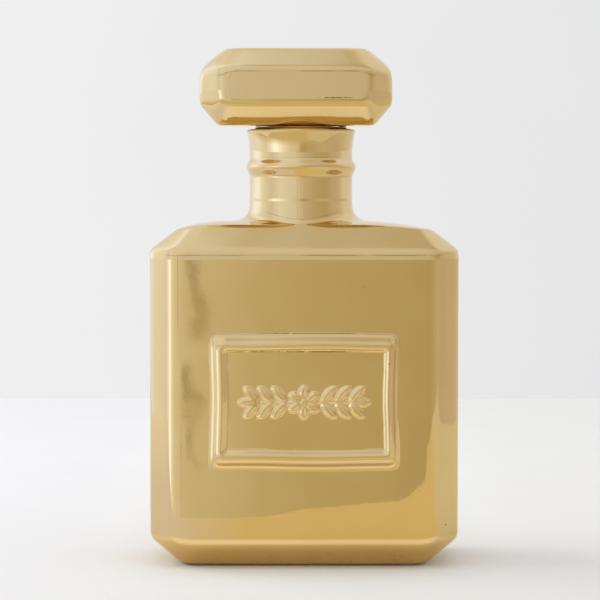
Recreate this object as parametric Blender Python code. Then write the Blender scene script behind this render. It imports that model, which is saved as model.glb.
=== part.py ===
"""Stoppered flacon in gold-plated slip-cast ceramic, in metres, +Z up.

The origin is at the middle of the base, on the surface that the flacon stands on.
The front, with the raised label frame, faces -Y.
"""

import math

import bmesh
import bpy
from mathutils import Matrix, Vector

# Body: an oblong block with cut corners, cast as a hollow shell.
BODY_WIDTH = 0.1788
BODY_DEPTH = 0.0900
BODY_HEIGHT = 0.1938  # from the underside to the rim of the shoulder
BODY_CORNER_CUT = 0.0130  # the upright corners, measured along each face
BODY_WALL = 0.0050
FOOT_CUT_SIDE = 0.0175  # how far the lower edge is cut in at the ends
FOOT_CUT_FRONT = 0.0120  # and at the front and back
FOOT_RISE_SIDE = 0.0163
FOOT_RISE_FRONT = 0.0118
SHOULDER_CUT_SIDE = 0.0150
SHOULDER_CUT_FRONT = 0.0110
SHOULDER_DROP = 0.0116
ROOF_RISE = 0.0065  # from the rim of the shoulder up to the root of the neck
ROOF_CROWN_INSET = 0.0110  # the roof is crowned: this far in from each end
ROOF_CROWN_RISE = 0.0032  # it already stands this high

# Neck: round, with one bead and a flared lip.
NECK_OFFSET = -0.0018  # the casting's neck stands a little left of the middle
NECK_RADIUS = 0.0303
NECK_WALL = 0.0060
NECK_HEIGHT = 0.0585  # from the rim of the shoulder to the top of the lip
ROOT_FLARE = 0.0037  # how far the concave root stands out from the neck
ROOT_FLARE_HEIGHT = 0.0130
BEAD_SIZE = 0.0018
BEAD_BELOW_LIP = 0.0220
BEAD_HEIGHT_ABOVE = 0.0052  # the bead's upper slope is the shorter one
BEAD_HEIGHT_BELOW = 0.0066
BEAD_SHARPNESS = 1.6  # above 1 draws the bead in at its foot
LIP_FLARE = 0.0020
LIP_FLARE_HEIGHT = 0.0150
LIP_ROUNDING = 0.0010

# Raised label frame with a sprig in it.
LABEL_WIDTH = 0.1070
LABEL_HEIGHT = 0.0788
LABEL_ABOVE_BASE = 0.0952  # its middle
LABEL_BAND = 0.0090
LABEL_LEDGE = 0.0014
LABEL_RELIEF = 0.0036
LABEL_PANEL_RELIEF = 0.0004
LABEL_ROUNDING = 0.0018
RELIEF_ROOT = 0.0010  # how far raised work reaches into the wall
SPRIG_LENGTH = 0.0740
SPRIG_STEM_THICKNESS = 0.0020
SPRIG_LEAF_PAIRS = 3
SPRIG_LEAF_LENGTH = 0.0125
SPRIG_LEAF_WIDTH = 0.0056
SPRIG_LEAF_ANGLE = math.radians(48)
SPRIG_RELIEF = 0.0016
BLOSSOM_PETALS = 6
BLOSSOM_RADIUS = 0.0056
BLOSSOM_PETAL_LENGTH = 0.0072
BLOSSOM_PETAL_WIDTH = 0.0046

# Stopper: a hollow ceramic head glued on a moulded plug.
HEAD_WIDTH = 0.1118
HEAD_DEPTH = 0.0760
HEAD_HEIGHT = 0.0451
HEAD_OFFSET = -0.0029  # the head is glued on a little left of its plug
HEAD_CORNER_CUT = 0.0130
HEAD_WALL = 0.0050
HEAD_TOP_CUT = 0.0140
HEAD_TOP_DROP = 0.0125
HEAD_UNDER_CUT = 0.0105
HEAD_UNDER_RISE = 0.0140
PLUG_LENGTH = 0.0230  # below the head
PLUG_WALL_GAP = 0.0014  # between the plug and the bore, closed by the rings
PLUG_TIP_CUT = 0.0015
SPIGOT_RADIUS = 0.0140
SPIGOT_LENGTH = 0.0090
RING_THICKNESS = 0.0030
RING_SPACING = 0.0085
RING_BELOW_HEAD = 0.0070  # middle of the upper ring
WASHER_THICKNESS = 0.0008

# Felt pads under the base.
PAD_RADIUS = 0.0080
PAD_THICKNESS = 0.0009
PAD_EDGE_MARGIN = 0.0040  # from the pad to the edge of the underside

GAP = 0.0003  # between pieces that meet
ROUND_STEPS = 32  # facets round the turned pieces
CORD_STEPS = 10  # facets round a ring's cross-section
SIDE_STEPS = (16, 2, 4, 2)  # facets along the front, a corner, an end and a corner
NECK_LEVELS = 20
FORM_FACETS = (10, 6)  # round and along each small raised form
LABEL_FACETS = 3  # across a rounding of the label frame
LEAST_CUT_LEFT = 0.1  # of a corner cut, however far its sides move in
SMOOTH_BELOW = math.radians(35)  # edges that turn less than this are shaded smooth
POLE_MERGE = 0.00001

BASE_Z = PAD_THICKNESS + GAP
SHOULDER_Z = BASE_Z + BODY_HEIGHT
LIP_Z = SHOULDER_Z + NECK_HEIGHT
WASHER_Z = LIP_Z + GAP
HEAD_Z = WASHER_Z + WASHER_THICKNESS + GAP
BORE_RADIUS = NECK_RADIUS - NECK_WALL
PLUG_RADIUS = BORE_RADIUS - PLUG_WALL_GAP


def clear_scene():
    for item in list(bpy.data.objects):
        bpy.data.objects.remove(item, do_unlink=True)


def make_material(name, colour, roughness, metallic=0.0):
    material = bpy.data.materials.new(name)
    material.use_nodes = True
    shader = material.node_tree.nodes["Principled BSDF"]
    shader.inputs["Base Color"].default_value = (*colour, 1.0)
    shader.inputs["Roughness"].default_value = roughness
    shader.inputs["Metallic"].default_value = metallic
    return material


def make_object(name, bm, material, location=(0.0, 0.0, 0.0)):
    """Turns a bmesh, made about its own origin, into a placed object."""
    bmesh.ops.recalc_face_normals(bm, faces=bm.faces)
    mesh = bpy.data.meshes.new(name)
    bm.to_mesh(mesh)
    bm.free()
    mesh.materials.append(material)
    mesh.shade_smooth()
    mesh.set_sharp_from_angle(angle=SMOOTH_BELOW)
    item = bpy.data.objects.new(name, mesh)
    item.location = location
    bpy.context.scene.collection.objects.link(item)
    return item


# Rings: every ring has the same number of points, so that one can grow into the next.


def ring_count():
    return 2 * sum(SIDE_STEPS)


def narrower_cut(cut, inset):
    """The corner cut of an oblong whose sides have all moved in by inset."""
    return max(cut - inset * (2.0 - math.sqrt(2.0)), LEAST_CUT_LEFT * cut)


def oblong_points(half_x, half_y, cut, z, centre_x=0.0):
    """Points round an oblong with cut corners, from its front left corner."""
    corners = [
        (-half_x + cut, -half_y),
        (half_x - cut, -half_y),
        (half_x, -half_y + cut),
        (half_x, half_y - cut),
        (half_x - cut, half_y),
        (-half_x + cut, half_y),
        (-half_x, half_y - cut),
        (-half_x, -half_y + cut),
    ]
    points = []
    for side, start in enumerate(corners):
        end = corners[(side + 1) % len(corners)]
        steps = SIDE_STEPS[side % len(SIDE_STEPS)]
        for step in range(steps):
            share = step / steps
            x = start[0] + (end[0] - start[0]) * share
            y = start[1] + (end[1] - start[1]) * share
            points.append(Vector((centre_x + x, y, z)))
    return points


def circle_points(radius, z, centre_x=0.0):
    """Points round a circle, matched to those of oblong_points."""
    turn = 2.0 * math.pi / ring_count()
    first = -0.5 * math.pi - 0.5 * SIDE_STEPS[0] * turn
    points = []
    for step in range(ring_count()):
        angle = first + step * turn
        x = centre_x + radius * math.cos(angle)
        points.append(Vector((x, radius * math.sin(angle), z)))
    return points


def loft(levels):
    """A closed skin through rings of points, with its first and last ring filled."""
    bm = bmesh.new()
    made = bmesh.ops.create_circle(bm, segments=ring_count(), radius=1.0, cap_ends=True)
    ring = made["verts"]
    for vert, point in zip(ring, levels[0]):
        vert.co = point
    for points in levels[1:]:
        edges = [bm.edges.get((a, b)) for a, b in zip(ring, ring[1:] + ring[:1])]
        grown = bmesh.ops.extrude_edge_only(bm, edges=edges)
        new_verts = {v for v in grown["geom"] if isinstance(v, bmesh.types.BMVert)}
        next_ring = []
        for vert in ring:
            partner = [e.other_vert(vert) for e in vert.link_edges]
            next_ring += [v for v in partner if v in new_verts]
        for vert, point in zip(next_ring, points):
            vert.co = point
        ring = next_ring
    bmesh.ops.contextual_create(bm, geom=ring)
    return bm


def neck_radius_at(z):
    """The neck's outer radius: a straight tube with a flared root, a bead and a lip."""
    radius = NECK_RADIUS
    above_root = (z - SHOULDER_Z - ROOF_RISE) / ROOT_FLARE_HEIGHT
    if above_root < 1.0:
        radius += ROOT_FLARE * (1.0 - above_root) ** 2
    above_bead = z - LIP_Z + BEAD_BELOW_LIP
    slope = above_bead / (BEAD_HEIGHT_ABOVE if above_bead > 0.0 else BEAD_HEIGHT_BELOW)
    if abs(slope) < 1.0:
        radius += BEAD_SIZE * math.cos(0.5 * math.pi * slope) ** BEAD_SHARPNESS
    above_flare = (z - LIP_Z + LIP_FLARE_HEIGHT) / LIP_FLARE_HEIGHT
    if above_flare > 0.0:
        radius += LIP_FLARE * above_flare ** 2
    return radius


def neck_levels():
    """The neck's outside from its root to its lip, as rings."""
    root_z = SHOULDER_Z + ROOF_RISE
    top_z = LIP_Z - LIP_ROUNDING
    levels = []
    for step in range(NECK_LEVELS + 1):
        z = root_z + (top_z - root_z) * step / NECK_LEVELS
        levels.append(circle_points(neck_radius_at(z), z, NECK_OFFSET))
    lip_radius = neck_radius_at(LIP_Z) - LIP_ROUNDING
    levels.append(circle_points(lip_radius, LIP_Z, NECK_OFFSET))
    return levels


def body_levels(wall):
    """The block's rings from the underside to the rim, moved in by a wall's thickness."""
    half_x = 0.5 * BODY_WIDTH - wall
    half_y = 0.5 * BODY_DEPTH - wall
    cut = narrower_cut(BODY_CORNER_CUT, wall)
    foot_cut = narrower_cut(cut, FOOT_CUT_FRONT)
    rim_cut = narrower_cut(cut, SHOULDER_CUT_FRONT)
    side_left = 1.0 - FOOT_RISE_FRONT / FOOT_RISE_SIDE
    part_way_x = half_x - FOOT_CUT_SIDE * side_left
    rim_x = half_x - SHOULDER_CUT_SIDE
    rim_y = half_y - SHOULDER_CUT_FRONT
    low_z = BASE_Z + wall
    return [
        oblong_points(half_x - FOOT_CUT_SIDE, half_y - FOOT_CUT_FRONT, foot_cut, low_z),
        oblong_points(part_way_x, half_y, cut, low_z + FOOT_RISE_FRONT),
        oblong_points(half_x, half_y, cut, low_z + FOOT_RISE_SIDE),
        oblong_points(half_x, half_y, cut, SHOULDER_Z - wall - SHOULDER_DROP),
        oblong_points(rim_x, rim_y, rim_cut, SHOULDER_Z - wall),
        oblong_points(
            rim_x - ROOF_CROWN_INSET, rim_y, rim_cut, SHOULDER_Z - wall + ROOF_CROWN_RISE
        ),
    ]


def body_shell():
    """The cast shell: up the outside, over the lip, down the bore and round the hollow."""
    levels = body_levels(0.0) + neck_levels()
    levels.append(circle_points(BORE_RADIUS, LIP_Z, NECK_OFFSET))
    levels.append(circle_points(BORE_RADIUS, SHOULDER_Z, NECK_OFFSET))
    levels += reversed(body_levels(BODY_WALL))
    return loft(levels)


def ellipsoid(name, material, centre, size, angle):
    """A small rounded form, size along its length, depth and width, turned in the front plane."""
    bm = bmesh.new()
    round_facets, long_facets = FORM_FACETS
    bmesh.ops.create_uvsphere(
        bm, u_segments=round_facets, v_segments=long_facets, radius=0.5
    )
    bmesh.ops.scale(bm, vec=size, verts=bm.verts)
    bmesh.ops.rotate(bm, matrix=Matrix.Rotation(-angle, 3, "Y"), verts=bm.verts)
    return make_object(name, bm, material, centre)


def label_frame(material):
    """The raised band round a nearly flat panel, rooted in the body's front wall."""
    bm = bmesh.new()
    bmesh.ops.create_cube(bm, size=1.0)
    depth = LABEL_RELIEF + RELIEF_ROOT
    bmesh.ops.scale(bm, vec=(LABEL_WIDTH, depth, LABEL_HEIGHT), verts=bm.verts)
    bmesh.ops.translate(bm, vec=(0.0, 0.5 * depth - LABEL_RELIEF, 0.0), verts=bm.verts)
    front = [f for f in bm.faces if f.normal.y < -0.9]
    outer_edges = list(front[0].edges)
    bmesh.ops.inset_region(bm, faces=front, thickness=LABEL_BAND)
    inner_edges = list(front[0].edges)
    bmesh.ops.inset_region(bm, faces=front, thickness=LABEL_LEDGE)
    sink = LABEL_RELIEF - LABEL_PANEL_RELIEF
    bmesh.ops.translate(bm, vec=(0.0, sink, 0.0), verts=front[0].verts)
    bmesh.ops.bevel(
        bm,
        geom=outer_edges + inner_edges,
        offset=LABEL_ROUNDING,
        segments=LABEL_FACETS,
        profile=0.5,
        affect="EDGES",
        material=-1,
    )
    place = (0.0, -0.5 * BODY_DEPTH, BASE_Z + LABEL_ABOVE_BASE)
    return make_object("label_frame_form", bm, material, place)


def sprig_forms(material):
    """A blossom on a level stem with pairs of leaves, alike on both sides."""
    face_y = -0.5 * BODY_DEPTH - LABEL_PANEL_RELIEF
    centre_z = BASE_Z + LABEL_ABOVE_BASE
    depth = 2.0 * SPRIG_RELIEF
    stem_size = (SPRIG_LENGTH, depth, SPRIG_STEM_THICKNESS)
    forms = [ellipsoid("sprig_stem_form", material, (0.0, face_y, centre_z), stem_size, 0.0)]
    first = BLOSSOM_RADIUS + 0.5 * SPRIG_LEAF_LENGTH
    spacing = (0.5 * SPRIG_LENGTH - first) / SPRIG_LEAF_PAIRS
    reach = 0.5 * SPRIG_LEAF_LENGTH
    leaf_size = (SPRIG_LEAF_LENGTH, depth, SPRIG_LEAF_WIDTH)
    for side in (-1, 1):
        for pair in range(SPRIG_LEAF_PAIRS):
            for up in (-1, 1):
                x = side * (first + pair * spacing + reach * math.cos(SPRIG_LEAF_ANGLE))
                z = centre_z + up * reach * math.sin(SPRIG_LEAF_ANGLE)
                angle = side * up * SPRIG_LEAF_ANGLE
                name = f"sprig_leaf_form_{len(forms)}"
                forms.append(ellipsoid(name, material, (x, face_y, z), leaf_size, angle))
    petal_size = (BLOSSOM_PETAL_LENGTH, depth, BLOSSOM_PETAL_WIDTH)
    for petal in range(BLOSSOM_PETALS):
        angle = 2.0 * math.pi * (petal + 0.5) / BLOSSOM_PETALS
        x = BLOSSOM_RADIUS * math.cos(angle)
        z = centre_z + BLOSSOM_RADIUS * math.sin(angle)
        name = f"blossom_petal_form_{petal}"
        forms.append(ellipsoid(name, material, (x, face_y, z), petal_size, angle))
    return forms


def join_form(item, form):
    """Adds a raised form to a piece and keeps the form itself out of the model."""
    form.hide_render = True
    form.display_type = "WIRE"
    union = item.modifiers.new(form.name, "BOOLEAN")
    union.operation = "UNION"
    union.solver = "EXACT"
    union.object = form


def bottle_body(material):
    body = make_object("bottle_body", body_shell(), material)
    join_form(body, label_frame(material))
    for form in sprig_forms(material):
        join_form(body, form)
    return body


def head_levels(wall):
    """The head's rings from its top down to its underside, moved in by a wall's thickness."""
    half_x = 0.5 * HEAD_WIDTH - wall
    half_y = 0.5 * HEAD_DEPTH - wall
    cut = narrower_cut(HEAD_CORNER_CUT, wall)
    top_cut = narrower_cut(cut, HEAD_TOP_CUT)
    under_cut = narrower_cut(cut, HEAD_UNDER_CUT)
    top_z = HEAD_HEIGHT - wall
    return [
        oblong_points(half_x - HEAD_TOP_CUT, half_y - HEAD_TOP_CUT, top_cut, top_z, HEAD_OFFSET),
        oblong_points(half_x, half_y, cut, top_z - HEAD_TOP_DROP, HEAD_OFFSET),
        oblong_points(half_x, half_y, cut, wall + HEAD_UNDER_RISE, HEAD_OFFSET),
        oblong_points(
            half_x - HEAD_UNDER_CUT, half_y - HEAD_UNDER_CUT, under_cut, wall, HEAD_OFFSET
        ),
    ]


def stopper_head(material):
    """The hollow head, open below where the plug's spigot is glued in."""
    socket = SPIGOT_RADIUS + GAP
    levels = head_levels(0.0)
    levels.append(circle_points(socket, 0.0))
    levels.append(circle_points(socket, HEAD_WALL))
    levels += reversed(head_levels(HEAD_WALL))
    return make_object("stopper_head", loft(levels), material, (NECK_OFFSET, 0.0, HEAD_Z))


def turned(name, profile, material, z, closed=False):
    """A round piece from a profile of (radius, height) pairs, on the neck's axis."""
    bm = bmesh.new()
    verts = [bm.verts.new((radius, 0.0, height)) for radius, height in profile]
    ends = verts[1:] + verts[:1] if closed else verts[1:]
    edges = [bm.edges.new(pair) for pair in zip(verts, ends)]
    bmesh.ops.spin(
        bm,
        geom=verts + edges,
        cent=(0.0, 0.0, 0.0),
        axis=(0.0, 0.0, 1.0),
        angle=2.0 * math.pi,
        steps=ROUND_STEPS,
        use_merge=True,
    )
    bmesh.ops.remove_doubles(bm, verts=bm.verts, dist=POLE_MERGE)
    return make_object(name, bm, material, (NECK_OFFSET, 0.0, z))


def ring_groove(middle):
    """The profile of a groove that holds one sealing ring, from top to bottom."""
    half = 0.5 * RING_THICKNESS + GAP
    floor = ring_core_radius() - half
    return [
        (PLUG_RADIUS, middle + half),
        (floor, middle + half),
        (floor, middle - half),
        (PLUG_RADIUS, middle - half),
    ]


def ring_core_radius():
    """The radius of a sealing ring's own centre line, just clear of the bore."""
    return BORE_RADIUS - GAP - 0.5 * RING_THICKNESS


def ring_middles():
    """How far below the head the middles of the two sealing rings lie."""
    return (-RING_BELOW_HEAD, -RING_BELOW_HEAD - RING_SPACING)


def stopper_plug(material):
    """The moulded plug: a spigot up into the head and a grooved shank down the bore."""
    profile = [
        (0.0, SPIGOT_LENGTH),
        (SPIGOT_RADIUS, SPIGOT_LENGTH),
        (SPIGOT_RADIUS, -GAP),
        (PLUG_RADIUS, -GAP),
    ]
    for middle in ring_middles():
        profile += ring_groove(middle)
    profile += [
        (PLUG_RADIUS, PLUG_TIP_CUT - PLUG_LENGTH),
        (PLUG_RADIUS - PLUG_TIP_CUT, -PLUG_LENGTH),
        (0.0, -PLUG_LENGTH),
    ]
    return turned("stopper_plug", profile, material, HEAD_Z)


def seal_ring(name, middle, material):
    """A soft ring of round cross-section, seated in its groove."""
    profile = []
    for step in range(CORD_STEPS):
        angle = 2.0 * math.pi * step / CORD_STEPS
        radius = ring_core_radius() + 0.5 * RING_THICKNESS * math.cos(angle)
        profile.append((radius, 0.5 * RING_THICKNESS * math.sin(angle)))
    return turned(name, profile, material, HEAD_Z + middle, closed=True)


def lip_washer(material):
    """The thin washer between the lip and the head."""
    inner = PLUG_RADIUS + GAP
    outer = neck_radius_at(LIP_Z) - LIP_ROUNDING
    profile = [(inner, 0.0), (outer, 0.0), (outer, WASHER_THICKNESS), (inner, WASHER_THICKNESS)]
    return turned("lip_washer", profile, material, WASHER_Z, closed=True)


def foot_pad(name, x, y, material):
    bm = bmesh.new()
    bmesh.ops.create_cone(
        bm,
        cap_ends=True,
        segments=ROUND_STEPS,
        radius1=PAD_RADIUS,
        radius2=PAD_RADIUS,
        depth=PAD_THICKNESS,
    )
    return make_object(name, bm, material, (x, y, 0.5 * PAD_THICKNESS))


def foot_pads(material):
    """Four pads, one near each corner of the underside."""
    margin = PAD_EDGE_MARGIN + PAD_RADIUS
    reach_x = 0.5 * BODY_WIDTH - FOOT_CUT_SIDE - margin
    reach_y = 0.5 * BODY_DEPTH - FOOT_CUT_FRONT - margin
    for end, side_x in (("left", -1), ("right", 1)):
        for face, side_y in (("front", -1), ("back", 1)):
            foot_pad(f"foot_pad_{face}_{end}", side_x * reach_x, side_y * reach_y, material)


def main():
    clear_scene()
    gold = make_material("gold_plated_ceramic", (0.72, 0.50, 0.20), 0.12, 1.0)
    moulding = make_material("ivory_moulding", (0.78, 0.74, 0.66), 0.45)
    silicone = make_material("clear_silicone", (0.70, 0.70, 0.67), 0.40)
    felt = make_material("tan_felt", (0.42, 0.34, 0.24), 0.95)
    bottle_body(gold)
    stopper_head(gold)
    stopper_plug(moulding)
    upper, lower = ring_middles()
    seal_ring("seal_ring_upper", upper, silicone)
    seal_ring("seal_ring_lower", lower, silicone)
    lip_washer(silicone)
    foot_pads(felt)


main()
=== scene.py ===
import math

import bmesh
import bpy
import numpy as np
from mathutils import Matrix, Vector


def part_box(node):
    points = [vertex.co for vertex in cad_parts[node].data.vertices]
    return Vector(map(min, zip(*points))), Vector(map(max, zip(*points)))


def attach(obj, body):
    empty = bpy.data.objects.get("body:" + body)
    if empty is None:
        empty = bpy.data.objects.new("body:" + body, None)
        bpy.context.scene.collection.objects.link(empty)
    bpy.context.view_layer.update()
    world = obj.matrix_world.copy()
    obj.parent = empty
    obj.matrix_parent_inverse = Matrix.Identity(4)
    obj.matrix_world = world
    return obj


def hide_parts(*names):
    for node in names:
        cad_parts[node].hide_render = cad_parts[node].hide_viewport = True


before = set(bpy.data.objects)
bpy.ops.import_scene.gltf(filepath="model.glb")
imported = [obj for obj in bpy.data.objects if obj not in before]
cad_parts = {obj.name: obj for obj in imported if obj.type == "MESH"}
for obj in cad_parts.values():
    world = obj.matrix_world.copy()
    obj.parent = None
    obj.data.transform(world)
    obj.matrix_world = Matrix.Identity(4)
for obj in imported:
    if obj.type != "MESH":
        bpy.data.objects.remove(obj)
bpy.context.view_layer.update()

bl_info = {
    "name": "Stoppered Flacon",
    "version": (1, 0, 0),
    "blender": (4, 5, 0),
    "location": "View3D > Sidebar > Flacon",
    "description": "Builds a gold-plated ceramic flacon with a lift-out stopper",
    "category": "Add Mesh",
}

BODY_LOW, BODY_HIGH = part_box("bottle_body")
HEAD_LOW, HEAD_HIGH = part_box("stopper_head")
PLUG_LOW, PLUG_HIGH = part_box("stopper_plug")
WASHER_LOW, WASHER_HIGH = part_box("lip_washer")
RING_NAMES = ("seal_ring_upper", "seal_ring_lower")
PAD_NAMES = tuple(
    f"foot_pad_{end}_{side}" for end in ("front", "back") for side in ("left", "right")
)
BODY_HALF = (0.5 * (BODY_HIGH.x - BODY_LOW.x), BODY_HIGH.y)
HEAD_HALF = (0.5 * (HEAD_HIGH.x - HEAD_LOW.x), HEAD_HIGH.y)
NECK_AXIS = 0.5 * (PLUG_LOW.x + PLUG_HIGH.x)
HEAD_AXIS = 0.5 * (HEAD_LOW.x + HEAD_HIGH.x)
PLUG_RADIUS = 0.5 * (PLUG_HIGH.x - PLUG_LOW.x)
MERGE = 1e-7

# Small shapes that the settings leave alone.
TUBE_DEPTH = 0.040  # how far the neck runs down inside the body
LIP_ROUNDING = 0.0022
BRIM_ROUNDING = 0.0009
MOUTH_ROUNDING = 0.0006
LEAF_GROOVE = 0.00048
PETAL_SIZE = (0.0086, 0.0062)
HEART_RADIUS = 0.0026
DIMPLE_RADIUS = 0.0009
FINE_STEP = 0.00055  # between rings and columns across the label frame's moulding
LABEL_MARGIN = 0.002  # round the frame, with points as close as on it
# The moulding's section: how far across it is, and how high it stands there.
MOULDING = np.array([
    (-0.04, 0.0), (0.04, 0.03), (0.12, 0.09), (0.20, 0.22), (0.34, 0.64), (0.47, 0.90),
    (0.58, 0.98), (0.69, 1.0), (0.76, 0.96), (0.84, 0.80), (0.92, 0.58), (0.98, 0.42),
])


# Settings


def length(name, description, default):
    return amount(name, description, default, precision=5, unit="LENGTH")


def round_lengths(name, description, default):
    """Three lengths: at the ends, at the front and back, and at the corners."""
    return bpy.props.FloatVectorProperty(
        name=name, description=description + " at the ends, the faces and the corners",
        default=default, size=3, precision=5, unit="LENGTH",
    )


def amount(name, description, default, precision=3, **more):
    return bpy.props.FloatProperty(
        name=name, description=description, default=default, precision=precision, **more
    )


def colour(name, description, default):
    return bpy.props.FloatVectorProperty(
        name=name, description=description, default=default, subtype="COLOR", min=0.0, max=1.0
    )


class BodySettings(bpy.types.PropertyGroup):
    """Sizes of the body"""

    corner_cut: length("Corner cut", "Width of the upright corner cuts, along each face", 0.0130)
    foot_cut: round_lengths("Foot cut", "How far the foot is cut in", (0.0167, 0.0120, 0.0159))
    foot_rise: round_lengths("Foot rise", "Height of that cut", (0.0152, 0.0118, 0.0148))
    rim_cut: round_lengths("Shoulder cut", "How far it is cut in", (0.0150, 0.0110, 0.0138))
    rim_drop: length("Shoulder drop", "Height of the shoulder's cut", 0.0116)
    rim_height: length("Rim height", "Height of the shoulder's rim above the table", 0.1950)
    roof_rise: length("Roof rise", "How far the roof swells towards the neck", 0.0052)
    edge_softness: length("Edge softness", "How far the rounding of an edge reaches", 0.0036)
    rim_softness: length("Rim softness", "How far the rounding of the rim reaches", 0.0012)
    crown: length("Crown", "How far the faces swell between their sides", 0.0006)
    wall: length("Wall", "Thickness of the cast wall", 0.0050)
    ripple: length("Ripple", "Depth of the slow unevenness of the hand finish", 0.00009)


class NeckSettings(bpy.types.PropertyGroup):
    """Sizes of the neck"""

    radius: length("Radius", "Outer radius of the neck", 0.0303)
    bore: length("Bore", "Radius of the neck's bore", 0.0243)
    root_reach_end: length("Root, ends", "Reach of the concave root towards the ends", 0.0150)
    root_reach_face: length("Root, faces", "Its reach at the front and back", 0.0042)
    bead_size: length("Bead", "How far the bead stands out", 0.0021)
    bead_below_lip: length("Bead below lip", "From the top of the lip to the bead", 0.0220)
    bead_above: length("Bead, above", "Height of the bead's upper slope", 0.0047)
    bead_below: length("Bead, below", "Height of the bead's lower slope", 0.0060)
    lip_flare: length("Lip flare", "How far the lip stands out", 0.0020)
    lip_flare_height: length("Lip flare height", "Height over which the lip opens", 0.0150)


class LabelSettings(bpy.types.PropertyGroup):
    """Sizes of the label frame"""

    centre_x: length("Centre", "How far the frame stands right of the middle", 0.0)
    centre_z: length("Height", "Height of the frame's middle above the table", 0.0964)
    width: length("Width", "Outer width of the raised frame", 0.1076)
    height: length("Frame height", "Outer height of the raised frame", 0.0782)
    band_left: length("Band, left", "Width of the moulding on the left", 0.0094)
    band_right: length("Band, right", "Width of the moulding on the right", 0.0082)
    band_top: length("Band, top", "Width of the moulding along the top", 0.0100)
    band_bottom: length("Band, bottom", "Width of the moulding along the bottom", 0.0116)
    relief: length("Relief", "How far the moulding stands out", 0.0034)
    panel_relief: length("Panel relief", "How far the panel inside stands out", 0.0013)
    mitre_softness: amount("Mitre softness", "Rounding of the corners, as a share", 0.95)


class SprigSettings(bpy.types.PropertyGroup):
    """Sizes of the sprig"""

    length: length("Length", "Length of the whole sprig", 0.0715)
    stem: length("Stem", "Thickness of the stem", 0.0021)
    leaf_length: length("Leaf length", "Length of a leaf", 0.0125)
    leaf_width: length("Leaf width", "Width of a leaf", 0.0056)
    leaf_angle: amount(
        "Leaf angle", "Angle between a leaf and the stem", math.radians(48), subtype="ANGLE"
    )
    relief: length("Relief", "How far the sprig stands out", 0.0016)
    petals: bpy.props.IntProperty(name="Petals", description="Petals of the blossom", default=6)
    blossom_radius: length("Blossom", "From the blossom's middle to that of a petal", 0.0056)


class HeadSettings(bpy.types.PropertyGroup):
    """Sizes of the stopper's head"""

    corner_cut: length("Corner cut", "Width of the upright corner cuts, along each face", 0.0130)
    top_cut: length("Top cut", "How far the top edge is cut in", 0.0140)
    top_drop: length("Top drop", "Height of the top edge's cut", 0.0118)
    under_cut: length("Under cut", "How far the lower edge is cut in", 0.0105)
    under_rise: length("Under rise", "Height of the lower edge's cut", 0.0120)
    edge_softness: length("Edge softness", "How far the rounding of an edge reaches", 0.0026)
    end_softness: length("End softness", "How far the rounding of the top ends reaches", 0.0090)
    crown: length("Crown", "How far the faces swell between their sides", 0.0009)
    wall: length("Wall", "Thickness of the cast wall", 0.0050)
    socket: length("Socket", "Radius of the hole for the plug's spigot", 0.0143)
    ripple: length("Ripple", "Depth of the slow unevenness of the hand finish", 0.00008)


class ClosureSettings(bpy.types.PropertyGroup):
    """Sizes of the plug, rings and washer"""

    spigot_radius: length("Spigot", "Radius of the spigot glued into the head", 0.0140)
    ring_thickness: length("Ring thickness", "Thickness of a sealing ring", 0.0030)
    gap: length("Gap", "Clearance between pieces that meet", 0.0003)
    rounding: length("Rounding", "Rounding of the moulded edges", 0.0004)
    washer_inset: length("Washer inset", "How far the washer stands back from the lip", 0.0045)


class FinishSettings(bpy.types.PropertyGroup):
    """Colours and polish"""

    gold: colour("Gold", "Colour of the plating", (0.725, 0.530, 0.232))
    gold_worn: colour("Gold, thin", "Colour of the plating where it is thin", (0.700, 0.500, 0.205))
    glaze: colour("Glaze", "Colour of the glazed inside", (0.72, 0.66, 0.55))
    moulding: colour("Moulding", "Colour of the moulded plug", (0.78, 0.74, 0.66))
    silicone: colour("Silicone", "Colour of the rings and the washer", (0.70, 0.70, 0.67))
    washer: colour("Washer", "Colour of the amber washer under the stopper", (0.60, 0.40, 0.15))
    felt: colour("Felt", "Colour of the pads", (0.42, 0.34, 0.24))
    polish: amount("Polish roughness", "Roughness of the plating on smooth ground", 0.026)


class StageSettings(bpy.types.PropertyGroup):
    """Camera, table and light"""

    camera_distance: length("Camera distance", "From the camera to the flacon's middle", 1.330)
    camera_height: length("Camera height", "Height of the camera above the table", 0.2150)
    camera_side: length("Camera side", "How far the camera stands to the right", -0.0024)
    aim_height: length("Aim height", "Height of the point it looks at", 0.1529)
    lens: amount("Lens", "Focal length on a 36 mm sensor", 135.2, unit="CAMERA")
    table_back: length("Table, back", "From the middle to the table's back edge", 1.04)
    table_colour: colour("Table", "Colour of the table", (0.860, 0.860, 0.857))
    fill: amount("Fill", "Strength of the even light from all round", 0.885)
    key_power: amount("Key power", "Power of the soft light", 13.0, unit="POWER")


# Rounded solids, described by how far a point lies outside them


def soft_max(a, b, reach):
    near = np.clip(1.0 - np.abs(a - b) / reach, 0.0, None)
    return np.maximum(a, b) + near**3 * reach / 6.0


def soft_min(a, b, reach):
    return -soft_max(-a, -b, reach)


def cut_edge(inward, upward, cut, rise):
    """A sloping cut from `rise` below a flat to `cut` inside a wall."""
    return (inward * rise + (upward + rise) * cut) / math.hypot(cut, rise)


def joined(walls, soft):
    """The ends, the faces and the corner cuts, joined softly."""
    side, face, corner = walls
    return soft_max(soft_max(side, face, soft), corner, soft)


def waves(points, seed, size):
    """A slow unevenness between -1 and 1, from a few crossing sine waves."""
    rng = np.random.default_rng(seed)
    total = np.zeros(len(points))
    for octave in range(7):
        direction = rng.normal(size=3)
        direction /= np.linalg.norm(direction)
        pitch = size * rng.uniform(0.6, 1.7)
        phase = rng.uniform(0, 2.0 * math.pi)
        total += np.sin(points @ direction * (2.0 * math.pi / pitch) + phase)
    return total / 4.0


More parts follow.
